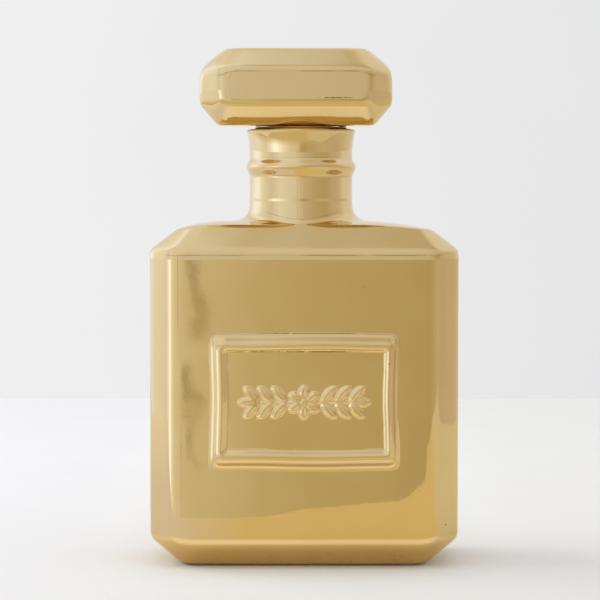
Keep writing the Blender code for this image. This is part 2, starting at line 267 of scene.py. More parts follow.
def block_walls(points, centre_x, half_x, half_y, corner_cut, crown):
    """How far points lie outside an oblong's ends, faces and corner cuts."""
    across = points[:, 0] - centre_x
    side = np.abs(across) - half_x
    face = np.abs(points[:, 1]) - half_y
    corner = (side + face + corner_cut) / math.sqrt(2.0)
    return side, face + crown * (across / half_x) ** 2, corner


def body_outside(points, body, neck):
    """How far points lie outside the body, its neck included."""
    half_x, half_y = BODY_HALF
    x, y, z = points.T
    walls = block_walls(points, 0.0, half_x, half_y, body.corner_cut, body.crown)
    soft = body.edge_softness
    under = BODY_LOW.z - z
    above = z - body.rim_height
    cuts = zip(walls, body.foot_cut, body.foot_rise)
    foot = joined([cut_edge(wall, under, cut, rise) for wall, cut, rise in cuts], soft)
    cuts = zip(walls, body.rim_cut)
    rim = joined([cut_edge(wall, above, cut, body.rim_drop) for wall, cut in cuts], soft)
    solid = soft_max(joined(walls, soft), foot, soft)
    solid = soft_max(solid, under, 0.5 * soft)
    solid = soft_max(solid, rim, soft)
    roof_x = half_x - body.rim_cut[0]
    roof_y = half_y - body.rim_cut[1]
    along = np.clip((roof_x - np.abs(x)) / (roof_x - neck.radius), 0.0, 1.0)
    power = np.where(x < 0.0, 4.0, 2.0)
    swell = 1.0 - (1.0 - along) ** power
    across = 1.0 - np.clip(np.abs(y) / roof_y, 0.0, 1.0) ** 3
    roof = above - body.roof_rise * swell * (0.4 + 0.6 * across)
    solid = soft_max(solid, roof, body.rim_softness)
    away = np.hypot(x - NECK_AXIS, y)
    tube = soft_max(away - neck_radius(z, neck), z - BODY_HIGH.z, 0.002)
    tube = np.maximum(tube, body.rim_height - TUBE_DEPTH - z)
    facing = (y / np.maximum(away, 1e-6)) ** 2
    reach = neck.root_reach_end + (neck.root_reach_face - neck.root_reach_end) * facing
    return soft_min(solid, tube, reach)


def neck_radius(z, neck):
    """The neck's outer radius: a tube with one bead and an opening lip."""
    above_bead = z - BODY_HIGH.z + neck.bead_below_lip
    slope = above_bead / np.where(above_bead > 0.0, neck.bead_above, neck.bead_below)
    bead = np.cos(0.5 * math.pi * np.clip(slope, -1.0, 1.0)) ** 1.6
    flare = np.clip((z - BODY_HIGH.z + neck.lip_flare_height) / neck.lip_flare_height, 0.0, 1.0)
    return neck.radius + neck.bead_size * bead + neck.lip_flare * flare**2


def head_outside(points, head):
    """How far points lie outside the stopper's head."""
    walls = block_walls(points, HEAD_AXIS, *HEAD_HALF, head.corner_cut, head.crown)
    side, face, corner = walls
    soft = head.edge_softness
    solid = joined(walls, soft)
    above = points[:, 2] - HEAD_HIGH.z
    below = HEAD_LOW.z - points[:, 2]
    for lift, cut, rise, end_soft, corner_share in (
        (above, head.top_cut, head.top_drop, head.end_softness, 1.05),
        (below, head.under_cut, head.under_rise, soft, 0.50),
    ):
        solid = soft_max(solid, cut_edge(side, lift, cut, rise), end_soft)
        solid = soft_max(solid, cut_edge(face, lift, cut, rise), soft)
        solid = soft_max(solid, cut_edge(corner, lift, corner_share * cut, rise), 2.2 * soft)
        solid = soft_max(solid, lift, soft)
    return solid


def settle(points, outside, rounds=9, step=2e-5):
    """Moves points the short way onto the surface where `outside` is zero."""
    for _ in range(rounds):
        slope = np.empty_like(points)
        for axis in range(3):
            shift = np.zeros(3)
            shift[axis] = step
            slope[:, axis] = (outside(points + shift) - outside(points - shift)) / (2.0 * step)
        steep = np.maximum((slope**2).sum(axis=1), 0.05)
        points = points - (outside(points) / steep)[:, None] * slope
    return points


def uneven(points, middle, low, fade_height, depth, slow, quick, share, sink):
    """Gives points the slow unevenness of a hand finish, which fades out near the bottom."""
    away = points - middle
    away = away / np.linalg.norm(away, axis=1)[:, None]
    depth = depth * (waves(points, *slow) + share * waves(points, *quick) - sink)
    fade = np.clip((points[:, 2] - low) / fade_height, 0.0, 1.0)
    return points + away * (depth * fade)[:, None]


# Rings of points, which become a skin


def eased(steps, crowd=0.75):
    """Shares from 0 up to, but not including, 1, crowded at both ends."""
    t = np.arange(steps) / steps
    return t - crowd * np.sin(2.0 * math.pi * t) / (2.0 * math.pi)


def graded(stops):
    """Places from the first stop to the last; each stop is (place, step up to the next)."""
    places = []
    for (start, step), (end, _) in zip(stops, stops[1:]):
        count = max(1, round(abs(end - start) / step))
        places += list(start + (end - start) * np.arange(count) / count)
    return np.array(places + [stops[-1][0]])


def ring_layout(front_shares, corner, end, back):
    """How the points of a ring are shared out along its eight sides."""
    return [front_shares, eased(corner), eased(end), eased(corner)] + [
        eased(back), eased(corner), eased(end), eased(corner)
    ]


def oblong_ring(layout, half_x, half_y, cut, z, centre_x=0.0):
    """A level ring with cut corners."""
    corners = np.array([
        (-half_x + cut, -half_y), (half_x - cut, -half_y), (half_x, -half_y + cut),
        (half_x, half_y - cut), (half_x - cut, half_y), (-half_x + cut, half_y),
        (-half_x, half_y - cut), (-half_x, -half_y + cut),
    ])
    parts = []
    for side, shares in enumerate(layout):
        start, end = corners[side], corners[(side + 1) % 8]
        parts.append(start + (end - start) * np.asarray(shares)[:, None])
    flat = np.concatenate(parts)
    return np.column_stack([flat[:, 0] + centre_x, flat[:, 1], np.full(len(flat), z)])


def round_ring(layout, radius, z, centre_x=0.0, depth=None):
    """A ring whose points lie in the same directions as those of an even octagon."""
    flat = oblong_ring(layout, 1.0, 1.0, 0.42, 0.0)
    flat = flat / np.hypot(flat[:, 0], flat[:, 1])[:, None]
    y = flat[:, 1] * (radius if depth is None else depth)
    return np.column_stack([centre_x + flat[:, 0] * radius, y, np.full(len(flat), z)])


def pinched(ring, centre_x=0.0):
    """A ring drawn together to a point on the axis."""
    point = ring.copy()
    point[:, 0], point[:, 1] = centre_x, 0.0
    return point


def between(low, high, shares):
    """Rings from one ring towards another."""
    return [low + (high - low) * share for share in shares]


def hollowed(rings, shaped, into, along, last, centre_x=0.0):
    """Adds the rings of an inside: through the shaped ones, and together to a point."""
    rings += between(rings[-1], shaped[0], into)
    for start, end in zip(shaped, shaped[1:]):
        rings += between(start, end, along)
    rings += between(shaped[-1], pinched(shaped[-1], centre_x), last)
    return np.array(rings)


def wrap(rings, inner_from=None):
    """A closed skin through rings of points; rows from `inner_from` on get the second material."""
    rings = np.array(rings)
    rows, columns = rings.shape[:2]
    bm = bmesh.new()
    made = bmesh.ops.create_grid(bm, x_segments=columns, y_segments=rows - 1, size=1.0)
    if inner_from is not None:
        for face in bm.faces:
            row = (face.calc_center_median().y + 1.0) * 0.5 * (rows - 1)
            face.material_index = int(row >= inner_from)
    flat = rings.tolist()
    for vert in made["verts"]:
        column = round((vert.co.x + 1.0) * 0.5 * columns) % columns
        row = round((vert.co.y + 1.0) * 0.5 * (rows - 1))
        vert.co = flat[row][column]
    bmesh.ops.remove_doubles(bm, verts=bm.verts, dist=MERGE)
    bmesh.ops.dissolve_degenerate(bm, edges=bm.edges, dist=MERGE)
    bmesh.ops.recalc_face_normals(bm, faces=bm.faces)
    return bm


def turned(profile, centre_x, steps=96, closed=False):
    """A round piece from (radius, height) pairs, spun about an upright axis."""
    bm = bmesh.new()
    verts = [bm.verts.new((centre_x + radius, 0.0, z)) for radius, z in profile]
    ends = verts[1:] + verts[:1] if closed else verts[1:]
    edges = [bm.edges.new(pair) for pair in zip(verts, ends)]
    bmesh.ops.spin(
        bm, geom=verts + edges, cent=(centre_x, 0.0, 0.0), axis=(0.0, 0.0, 1.0),
        angle=2.0 * math.pi, steps=steps, use_merge=True, use_duplicate=False,
    )
    bmesh.ops.remove_doubles(bm, verts=bm.verts, dist=MERGE * 10)
    bmesh.ops.recalc_face_normals(bm, faces=bm.faces)
    return bm


def rounded_profile(corners, radius, facets=4, closed=False):
    """A profile with each corner rounded; corners are (radius, height)."""
    count = len(corners)
    points = []
    for index, corner in enumerate(corners):
        here = Vector(corner)
        if not closed and index in (0, count - 1):
            points.append(tuple(here))
            continue
        before = Vector(corners[index - 1]) - here
        after = Vector(corners[(index + 1) % count]) - here
        reach = min(radius, 0.45 * before.length, 0.45 * after.length)
        start = here + before.normalized() * reach
        end = here + after.normalized() * reach
        for facet in range(facets + 1):
            t = facet / facets
            points.append(tuple(start * (1 - t) ** 2 + here * 2 * t * (1 - t) + end * t**2))
    return points


def show(name, bm, materials, body, slot, *nodes):
    """Turns a bmesh into a piece that stands for CAD nodes and rides on a body."""
    mesh = bpy.data.meshes.new(name)
    bm.to_mesh(mesh)
    bm.free()
    for material in materials:
        mesh.materials.append(material)
    mesh.shade_smooth()
    piece = bpy.data.objects.new(name, mesh)
    bpy.context.scene.collection.objects.link(piece)
    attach(piece, body)
    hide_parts(*nodes)
    return piece


# Raised work on the front


def moulding_height(across, label):
    """Height of the moulding, from 0 at its outer edge to 1 at the panel."""
    panel = label.panel_relief / label.relief
    knots = np.append(MOULDING[:, 0], [1.02, 1.2])
    rises = np.append(MOULDING[:, 1], [panel, panel])
    fine = np.linspace(-0.3, 1.6, 400)
    curve = np.interp(fine, knots, rises)
    kernel = np.hanning(15)
    curve = np.convolve(np.pad(curve, 7, mode="edge"), kernel / kernel.sum(), mode="valid")
    return label.relief * np.interp(across, fine, curve)


def leaf_height(x, z, centre, angle, size):
    """A sharp-ended leaf with a groove down its middle, between 0 and 1."""
    along = (x - centre[0]) * math.cos(angle) + (z - centre[1]) * math.sin(angle)
    across = -(x - centre[0]) * math.sin(angle) + (z - centre[1]) * math.cos(angle)
    u = along / (0.5 * size[0])
    half = 0.5 * size[1] * np.clip(1.0 - np.abs(u) ** 2.2, 0.0, 1.0) ** 0.8
    v = np.abs(across) / np.maximum(half, 1e-5)
    dome = np.sqrt(np.clip(1.0 - v**2, 0.0, 1.0)) * np.clip(1.0 - u**2, 0.0, 1.0) ** 0.35
    groove = 0.42 * np.exp(-((across / LEAF_GROOVE) ** 2)) * np.clip(1.0 - (u / 0.8) ** 2, 0.0, 1.0)
    return dome * (1.0 - groove)


def sprig_height(x, z, label, sprig):
    """A blossom on a level stem with three pairs of leaves on either side."""
    x = x - label.centre_x
    z = z - label.centre_z
    half = 0.5 * sprig.length
    taper = np.clip(1.0 - np.abs(x / half) ** 4, 0.0, 1.0)
    bow = 0.0006 * np.sin(x / 0.011)
    stem = np.sqrt(np.clip(1.0 - ((z - bow) / (0.5 * sprig.stem)) ** 2, 0.0, 1.0))
    height = stem * taper * 0.62
    reach = 0.5 * sprig.leaf_length
    first = sprig.blossom_radius + reach
    spacing = (half - first) / 3
    size = (sprig.leaf_length, sprig.leaf_width)
    for side in (-1, 1):
        for pair in range(3):
            for up in (-1, 1):
                root = side * (first - 0.3 * reach + pair * spacing)
                centre = (
                    root + side * reach * math.cos(sprig.leaf_angle),
                    up * reach * math.sin(sprig.leaf_angle),
                )
                angle = side * up * sprig.leaf_angle
                height = soft_max(height, leaf_height(x, z, centre, angle, size), 0.12)
        tip = (side * (half - 0.3 * sprig.leaf_length), 0.0)
        height = soft_max(height, leaf_height(x, z, tip, 0.0, size), 0.12)
    for petal in range(sprig.petals):
        angle = 2.0 * math.pi * (petal + 0.5) / sprig.petals
        centre = (sprig.blossom_radius * math.cos(angle), sprig.blossom_radius * math.sin(angle))
        height = np.maximum(height, leaf_height(x, z, centre, angle, PETAL_SIZE))
    away = np.hypot(x, z)
    heart = np.sqrt(np.clip(1.0 - (away / HEART_RADIUS) ** 2, 0.0, 1.0))
    dimple = 0.35 * np.exp(-((away / DIMPLE_RADIUS) ** 2))
    return sprig.relief * np.clip(np.maximum(height, 1.08 * heart - dimple), 0.0, 1.08)


def front_relief(x, z, label, sprig):
    """How far the front's raised work stands out of the wall."""
    low = np.clip((label.centre_z - z) / (0.5 * label.height), 0.0, 1.0)
    half_x = 0.5 * label.width + 0.0016 * low**6 + 0.0003 * np.sin(z / 0.009)
    half_z = 0.5 * label.height + 0.0003 * np.sin(x / 0.013 + 1.0)
    right = x - label.centre_x
    up = z - label.centre_z
    from_side = (half_x - np.abs(right)) / np.where(right > 0.0, label.band_right, label.band_left)
    from_edge = (half_z - np.abs(up)) / np.where(up > 0.0, label.band_top, label.band_bottom)
    depth = np.clip(np.minimum(from_side, from_edge), 0.0, 1.0)
    across = soft_min(from_side, from_edge, label.mitre_softness * (1.15 - depth))
    height = moulding_height(across, label)
    return height + np.where(across > 1.0, sprig_height(x, z, label, sprig), 0.0)


# Pieces


def body_rings(body, neck, label):
    """Rings up the outside, over the lip, down the bore and round the hollow."""
    half_x, half_y = BODY_HALF
    foot_end, foot_face, _ = body.foot_cut
    rise_end, rise_face, _ = body.foot_rise
    rim_end, rim_face, _ = body.rim_cut
    flat = half_x - body.corner_cut
    edge = 0.5 * label.width + LABEL_MARGIN
    band = 0.5 * label.width - 0.012
    fine = graded([(-edge, FINE_STEP), (-band, 0.00062), (band, FINE_STEP), (edge, 1.0)])
    left = -flat + (flat - edge) * eased(9, 0.5)
    right = edge + (flat - edge) * eased(10, 0.5)[1:]
    front = (np.concatenate([left, fine + label.centre_x, right]) + flat) / (2.0 * flat)
    layout = ring_layout(front, 9, 18, 26)

    def ring(end_cut, face_cut, corner_cut, z):
        return oblong_ring(layout, half_x - end_cut, half_y - face_cut, corner_cut, z)

    low = BODY_LOW.z
    z_foot = low + rise_end
    foot = ring(foot_end, foot_face, 0.0060, low)
    knee = ring(foot_end * (1.0 - rise_face / rise_end), 0.0, 0.0115, low + rise_face)
    heel = ring(0.0, 0.0, body.corner_cut, z_foot)
    rings = between(pinched(foot), foot, [0.0, 0.35, 0.7, 0.88, 0.95, 0.975])
    rings += between(foot, knee, eased(16, 0.6))
    rings += between(knee, heel, eased(5, 0.0))
    z_low = label.centre_z - 0.5 * label.height - LABEL_MARGIN
    z_high = label.centre_z + 0.5 * label.height + LABEL_MARGIN
    z_rim = body.rim_height - body.rim_drop
    levels = list(z_foot + (z_low - z_foot) * eased(18, 0.5))
    levels += list(graded([
        (z_low, FINE_STEP), (z_low + 0.014, 0.0012), (label.centre_z - 0.013, 0.0006),
        (label.centre_z + 0.013, 0.0012), (z_high - 0.014, FINE_STEP), (z_high, 1.0),
    ]))
    levels += list(z_high + (z_rim - z_high) * eased(20, 0.5)[1:])
    rings += [ring(0.0, 0.0, body.corner_cut, z) for z in levels]
    brow = ring(0.0, 0.0, body.corner_cut, z_rim)
    rim = ring(rim_end, rim_face, 0.0066, body.rim_height)
    rings += between(brow, rim, eased(15, 0.6))
    root_z = body.rim_height + body.roof_rise
    root = round_ring(layout, neck.radius + 0.010, root_z, NECK_AXIS, depth=neck.radius + 0.0035)
    rings += between(rim, root, eased(15, 0.55))
    throat = round_ring(layout, neck.radius, root_z + 0.012, NECK_AXIS)
    rings += between(root, throat, eased(16, 0.2))
    count = len(rings)
    top = BODY_HIGH.z
    lip = LIP_ROUNDING
    for z in graded([(root_z + 0.012, 0.0013), (top - 0.031, 0.0006), (top - lip, 1.0)]):
        rings.append(round_ring(layout, float(neck_radius(z, neck)), z, NECK_AXIS))
    crest = float(neck_radius(top, neck)) - lip
    for turn in 0.5 * math.pi * np.arange(1, 7) / 6:
        radius = crest + lip * math.cos(turn)
        rings.append(round_ring(layout, radius, top - lip + lip * math.sin(turn), NECK_AXIS))
    brim = neck.bore + BRIM_ROUNDING
    for share in (0.4, 0.8, 1.0):
        rings.append(round_ring(layout, crest + (brim - crest) * share, top, NECK_AXIS))
    inner = len(rings)
    for turn in 0.5 * math.pi * np.arange(1, 6) / 5:
        radius = brim - BRIM_ROUNDING * math.sin(turn)
        z = top - BRIM_ROUNDING * (1.0 - math.cos(turn))
        rings.append(round_ring(layout, radius, z, NECK_AXIS))
    for z in np.linspace(top - 0.004, body.rim_height, 9):
        rings.append(round_ring(layout, neck.bore, z, NECK_AXIS))
    wall = body.wall
    shaped = [
        ring(rim_end + wall, rim_face + wall, 0.006, body.rim_height - wall),
        ring(wall, wall, 0.010, z_rim - 0.002),
        ring(wall, wall, 0.010, z_foot + 0.002),
        ring(foot_end + wall, foot_face + wall, 0.005, low + wall),
    ]
    rings = hollowed(
        rings, shaped, [0.15, 0.4, 0.7, 0.9], [0.0, 0.06, 0.3, 0.7, 0.94], [0.0, 0.1, 0.5, 1.0]
    )
    return rings, count, inner


def settings():
    return bpy.context.scene.flacon


class FLACON_OT_body(bpy.types.Operator):
    """Builds the cast body with its neck, label frame and sprig"""

    bl_idname = "flacon.body"
    bl_label = "Body"

    def execute(self, context):
        made = settings()
        label = made.label
        rings, settled, inner = body_rings(made.body, made.neck, label)
        skin = rings[:settled].reshape(-1, 3)
        inside_cap = np.hypot(skin[:, 0], skin[:, 1]) < 0.02
        moved = settle(skin, lambda points: body_outside(points, made.body, made.neck))
        moved[inside_cap] = skin[inside_cap]
        on_front = (moved[:, 1] < -0.5 * BODY_HIGH.y) & (skin[:, 1] < -BODY_HIGH.y + 1e-6)
        x, _, z = moved[on_front].T
        moved[on_front, 1] -= front_relief(x, z, label, made.sprig)
        moved = uneven(
            moved, np.array([0.0, 0.0, 0.1]), BODY_LOW.z, 0.004, made.body.ripple,
            (11, 0.075), (12, 0.024), 0.18, 1.05,
        )
        rings[:settled] = moved.reshape(rings[:settled].shape)
        top = label.centre_z + 0.5 * label.height
        # Painted shade: dark lines along the label frame's inner and outer top creases.
        dark_lines = (
            (label.centre_x - 0.007, 0.044, top - label.band_top, 0.00040),
            (label.centre_x + 0.004, 0.036, top + 0.0004, 0.00022),
        )
        gold = gold_plate("gold_plate_body", made.finish, dark_lines, foot=True)
        materials = [gold, surface("inner_glaze", made.finish.glaze)]
        show("flacon_body", wrap(rings, inner), materials, "bottle", "gold_ceramic", "bottle_body")
        return {"FINISHED"}


class FLACON_OT_head(bpy.types.Operator):
    """Builds the hollow stopper head"""

    bl_idname = "flacon.head"
    bl_label = "Stopper head"

    def execute(self, context):
        made = settings()
        head = made.head
        half_x, half_y = HEAD_HALF
        layout = ring_layout(eased(40, 0.6), 12, 30, 40)

        def ring(inset, cut, z):
            return oblong_ring(layout, half_x - inset, half_y - inset, cut, z, HEAD_AXIS)

        top = ring(head.top_cut, 0.0060, HEAD_HIGH.z)
        brow = ring(0.0, head.corner_cut, HEAD_HIGH.z - head.top_drop)
        belt = ring(0.0, head.corner_cut, HEAD_LOW.z + head.under_rise)
        under = ring(head.under_cut, 0.0075, HEAD_LOW.z)
        rings = between(pinched(top, HEAD_AXIS), top, [0.0, 0.3, 0.6, 0.8, 0.9, 0.95])
        rings += between(top, brow, eased(18, 0.6))
        rings += between(brow, belt, eased(20, 0.7))
        rings += between(belt, under, eased(18, 0.6))
        socket = round_ring(layout, head.socket, HEAD_LOW.z, NECK_AXIS)
        rings += between(under, socket, [0.0, 0.04, 0.1, 0.3, 0.6])
        count = len(rings)
        for turn in 0.5 * math.pi * np.arange(5) / 4:
            radius = head.socket + MOUTH_ROUNDING * (1.0 - math.sin(turn))
            z = HEAD_LOW.z + MOUTH_ROUNDING * (1.0 - math.cos(turn))
            rings.append(round_ring(layout, radius, z, NECK_AXIS))
        inner = len(rings)
        wall = head.wall
        rings.append(round_ring(layout, head.socket, HEAD_LOW.z + wall, NECK_AXIS))
        hollow = [
            ring(head.under_cut + wall, 0.006, HEAD_LOW.z + wall),
            ring(wall, 0.010, HEAD_LOW.z + head.under_rise),
            ring(wall, 0.010, HEAD_HIGH.z - head.top_drop),
            ring(head.top_cut + wall, 0.004, HEAD_HIGH.z - wall),
        ]
        rings = hollowed(rings, hollow, [0.3, 0.7], [0.0, 0.5], [0.0, 0.5, 1.0], HEAD_AXIS)
        skin = rings[:count].reshape(-1, 3)
        moved = settle(skin, lambda points: head_outside(points, head))
        middle = np.array([HEAD_AXIS, 0.0, 0.5 * (HEAD_LOW.z + HEAD_HIGH.z)])
        moved = uneven(
            moved, middle, HEAD_LOW.z, 0.003, head.ripple, (21, 0.060), (22, 0.022), 0.15, 1.2
        )
        rings[:count] = moved.reshape(rings[:count].shape)
        # A short dark line across the front, above the lower crease.
        dark_lines = ((HEAD_AXIS + 0.0225, 0.0110, HEAD_LOW.z + head.under_rise + 0.0036, 0.00040),)
        gold = gold_plate("gold_plate_head", made.finish, dark_lines)
        materials = [gold, surface("inner_glaze", made.finish.glaze)]
        bm = wrap(rings, inner)
        show("flacon_stopper_head", bm, materials, "stopper", "gold_ceramic", "stopper_head")
        return {"FINISHED"}


class FLACON_OT_closure(bpy.types.Operator):
    """Builds the moulded plug, its two sealing rings and the lip washer"""

    bl_idname = "flacon.closure"
    bl_label = "Plug, rings and washer"

    def execute(self, context):
        made = settings()
        part = made.closure
        tube = 0.5 * part.ring_thickness
        shelf = HEAD_LOW.z - part.gap
        tip = PLUG_LOW.z
        profile = [(0.0, PLUG_HIGH.z), (part.spigot_radius, PLUG_HIGH.z)]
        profile += [(part.spigot_radius, shelf), (PLUG_RADIUS, shelf)]
        sections = {}
        for name in RING_NAMES:
            low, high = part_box(name)
            middle = 0.5 * (low.z + high.z)
            core = 0.5 * (high.x - low.x) - tube
            half = tube + part.gap
            profile += [(PLUG_RADIUS, middle + half), (core - half, middle + half)]
            profile += [(core - half, middle - half), (PLUG_RADIUS, middle - half)]
            sections[name] = section = []
            for step in range(24):
                turn = 2.0 * math.pi * step / 24
                flash = 0.00006 if step == 12 else 0.0
                radius = tube - 0.00008 + flash
                section.append((core + radius * math.cos(turn), middle + radius * math.sin(turn)))
        profile += [
            (PLUG_RADIUS, tip + 0.0016), (PLUG_RADIUS - 0.0015, tip), (PLUG_RADIUS - 0.0035, tip),
            (PLUG_RADIUS - 0.0040, tip + 0.0045), (0.0030, tip + 0.0045),
            (0.0024, tip + 0.0036), (0.0, tip + 0.0036),
        ]
        bm = turned(rounded_profile(profile, part.rounding), NECK_AXIS, 128)
        moulding = surface("moulded_plug", made.finish.moulding)
        show("flacon_plug", bm, [moulding], "stopper", "plug_moulding", "stopper_plug")
        rubber = surface("soft_silicone", made.finish.silicone)
        for name, section in sections.items():
            bm = turned(section, NECK_AXIS, 128, closed=True)
            show("flacon_" + name, bm, [rubber], "stopper", "silicone", name)
        low, high = WASHER_LOW, WASHER_HIGH
        outer = 0.5 * (high.x - low.x) - part.washer_inset
        inner = PLUG_RADIUS + part.gap
        corners = [(inner, low.z), (outer, low.z), (outer, high.z), (inner, high.z)]
        bm = turned(rounded_profile(corners, 0.00025, closed=True), NECK_AXIS, 128, closed=True)
        amber = surface("amber_silicone", made.finish.washer)
        show("flacon_lip_washer", bm, [amber], "lip_seal", "silicone", "lip_washer")
        return {"FINISHED"}


class FLACON_OT_pads(bpy.types.Operator):
    """Builds the four felt pads"""

    bl_idname = "flacon.pads"
    bl_label = "Felt pads"

    def execute(self, context):
        material = surface("pressed_felt", settings().finish.felt)
        for index, name in enumerate(PAD_NAMES):
            low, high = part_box(name)
            centre = 0.5 * (low + high)
            radius = 0.5 * (high.x - low.x) - 0.00012
            corners = [(0.0, low.z), (radius, low.z), (radius, high.z), (0.0, high.z)]
            bm = turned(rounded_profile(corners, 0.00035), 0.0, 64)
            bmesh.ops.translate(bm, vec=(centre.x, centre.y, 0.0), verts=bm.verts)
            rng = np.random.default_rng(31 + index)
            for vert in bm.verts:
                away = Vector((vert.co.x - centre.x, vert.co.y - centre.y, 0.0))
                if away.length > 0.8 * radius:
                    vert.co -= away.normalized() * rng.uniform(0.0, 0.00022)
            show("flacon_" + name, bm, [material], "bottle", "felt", name)
        return {"FINISHED"}


# Materials


class Nodes:
    """A short way to add shader nodes to a tree and to join them."""

    def __init__(self, tree):
        self.tree = tree

    def put(self, value, socket):
        """Links an output to a socket, or sets the socket to a constant."""
        if isinstance(value, bpy.types.NodeSocket):
            self.tree.links.new(value, socket)
        else:
            socket.default_value = value

    def add(self, kind, inputs=None, **settings):
        node = self.tree.nodes.new("ShaderNode" + kind)
        for name, value in settings.items():
            setattr(node, name, value)
        for name, value in (inputs or {}).items():
            self.put(value, node.inputs[name])
        return node

    def maths(self, operation, first, second=0.0):
        return self.add("Math", {0: first, 1: second}, operation=operation).outputs[0]

    def times(self, first, *others):
        for other in others:
            first = self.maths("MULTIPLY", first, other)
        return first

    def off(self, value, middle=0.0):
        """How far a value is from a middle, on either side."""
        return self.maths("ABSOLUTE", self.maths("SUBTRACT", value, middle))

    def ramp(self, value, low, high, out_low=0.0, out_high=1.0):
        names = ("Value", "From Min", "From Max", "To Min", "To Max")
        inputs = dict(zip(names, (value, low, high, out_low, out_high)))
        return self.add("MapRange", inputs, clamp=True).outputs[0]

    def mix(self, share, first, second):
        return self.add("Mix", {0: share, 6: first, 7: second}, data_type="RGBA").outputs[2]

    def noise(self, vector, scale, detail, roughness=0.5):
        inputs = {"Vector": vector, "Scale": scale, "Detail": detail, "Roughness": roughness}
        return self.add("TexNoise", inputs).outputs["Fac"]

    def axes(self, vector):
        return self.add("SeparateXYZ", {"Vector": vector}).outputs

    def effect(self, make, inputs):
        """Adds a shared effect, whose group is made the first time."""
        tree = bpy.data.node_groups.get(make.__name__) or make(make.__name__)
        return self.add("Group", inputs, node_tree=tree).outputs


def rgba(value):
    return (*value, 1.0)


def group(name, inputs, outputs):
    """An empty node group; an input without a default is a vector, and the rest are values."""
    tree = bpy.data.node_groups.new(name, "ShaderNodeTree")
    for socket, default in inputs.items():
        kind = "NodeSocketVector" if default is None else "NodeSocketFloat"
        made = tree.interface.new_socket(socket, in_out="INPUT", socket_type=kind)
        if default is not None:
            made.default_value = default
    for socket in outputs:
        tree.interface.new_socket(socket, in_out="OUTPUT", socket_type="NodeSocketFloat")
    entry = tree.nodes.new("NodeGroupInput").outputs
    leave = tree.nodes.new("NodeGroupOutput").inputs
    return Nodes(tree), entry, leave


def fine_grain(name):
    """Fine grain: a height and a tone that vary over the surface."""
    nodes, entry, leave = group(
        name, {"Vector": None, "Fine": 900.0, "Broad": 40.0, "Broad Share": 0.5}, ("Height", "Tone")
    )
    fine = nodes.noise(entry["Vector"], entry["Fine"], 3.0)
    broad = nodes.noise(entry["Vector"], entry["Broad"], 2.0)
    nodes.put(nodes.maths("ADD", fine, nodes.times(broad, entry["Broad Share"])), leave["Height"])
    nodes.put(nodes.ramp(broad, 0.3, 0.7), leave["Tone"])
    return nodes.tree


def pinholes(name):
    """Sparse round pits: a mask that is 1 in a pit."""
    nodes, entry, leave = group(
        name, {"Vector": None, "Scale": 60.0, "Size": 0.05, "Share": 0.2}, ("Mask",)
    )
    cells = nodes.add("TexVoronoi", {"Vector": entry["Vector"], "Scale": entry["Scale"]}).outputs
    core = nodes.times(entry["Size"], 0.45)
    near = nodes.add(
        "MapRange",
        {"Value": cells["Distance"], "From Min": core, "From Max": entry["Size"],
         "To Min": 1.0, "To Max": 0.0},
    ).outputs[0]
    picked = nodes.add("SeparateColor", {"Color": cells["Color"]}).outputs[0]
    chosen = nodes.maths("LESS_THAN", picked, entry["Share"])
    nodes.put(nodes.times(near, chosen), leave["Mask"])
    return nodes.tree


def new_material(name):
    material = bpy.data.materials.new(name)
    material.use_nodes = True
    nodes = Nodes(material.node_tree)
    shader = material.node_tree.nodes["Principled BSDF"].inputs
    place = nodes.add("TexCoord").outputs["Object"]
    return material, nodes, shader, place


# Colours of the specks and pits in the plating, and of the dark lines painted on it, which on the
# body are painted shade in the label frame's creases.
SPECK_COLOUR = rgba((0.30, 0.19, 0.07))
DARK_LINE_COLOUR = rgba((0.09, 0.055, 0.02))
PINHOLE_COLOUR = rgba((0.10, 0.06, 0.025))


def gold_plate(name, finish, dark_lines, foot=False):
    """Bright gold plating with pinholes, dark lines (painted shade in creases on the body) and, at
    a foot, a dry sandy band.

    A dark line is its middle across, half its length, its height and half its thickness."""
    material, nodes, shader, place = new_material(name)
    x, y, z = nodes.axes(place)
    grain = nodes.effect(
        fine_grain, {"Vector": place, "Fine": 420.0, "Broad": 26.0, "Broad Share": 2.2}
    )
    pits = nodes.effect(pinholes, {"Vector": place, "Scale": 62.0, "Size": 0.045, "Share": 0.16})[0]
    tone = nodes.mix(grain["Tone"], rgba(finish.gold), rgba(finish.gold_worn))
    rough = nodes.ramp(grain["Tone"], 0.0, 1.0, finish.polish, finish.polish * 1.35)
    height = nodes.times(grain["Height"], 0.10)
    if foot:
        band = nodes.ramp(z, 0.0150, 0.0075)
        sand = nodes.effect(
            fine_grain, {"Vector": place, "Fine": 1500.0, "Broad": 480.0, "Broad Share": 0.8}
        )
        specks = nodes.effect(
            pinholes, {"Vector": place, "Scale": 520.0, "Size": 0.30, "Share": 0.25}
        )[0]
        rough = nodes.maths("ADD", rough, nodes.times(band, 0.17))
        height = nodes.maths("ADD", height, nodes.times(sand["Height"], nodes.times(band, 0.9)))
        tone = nodes.mix(nodes.times(specks, band, 0.55), tone, SPECK_COLOUR)
    broken = nodes.noise(place, 260.0, 2.0)
    # Dark lines on the front; on the body they are painted shade in the label frame's creases.
    for middle, half, line_height, thick in dark_lines:
        along = nodes.ramp(nodes.off(x, middle), half, 0.55 * half)
        across = nodes.ramp(nodes.off(z, line_height), thick, 0.35 * thick)
        front = nodes.ramp(y, -0.030, -0.034)
        dark_line = nodes.times(along, across, front, nodes.ramp(broken, 0.36, 0.52), 0.9)
        tone = nodes.mix(dark_line, tone, DARK_LINE_COLOUR)
    tone = nodes.mix(nodes.times(pits, 0.85), tone, PINHOLE_COLOUR)
    height = nodes.maths("SUBTRACT", height, nodes.times(pits, 1.5))
    bump = nodes.add("Bump", {"Strength": 0.35, "Distance": 0.00006, "Height": height})
    nodes.put(tone, shader["Base Color"])
    nodes.put(rough, shader["Roughness"])
    nodes.put(bump.outputs[0], shader["Normal"])
    shader["Metallic"].default_value = 1.0
    return material


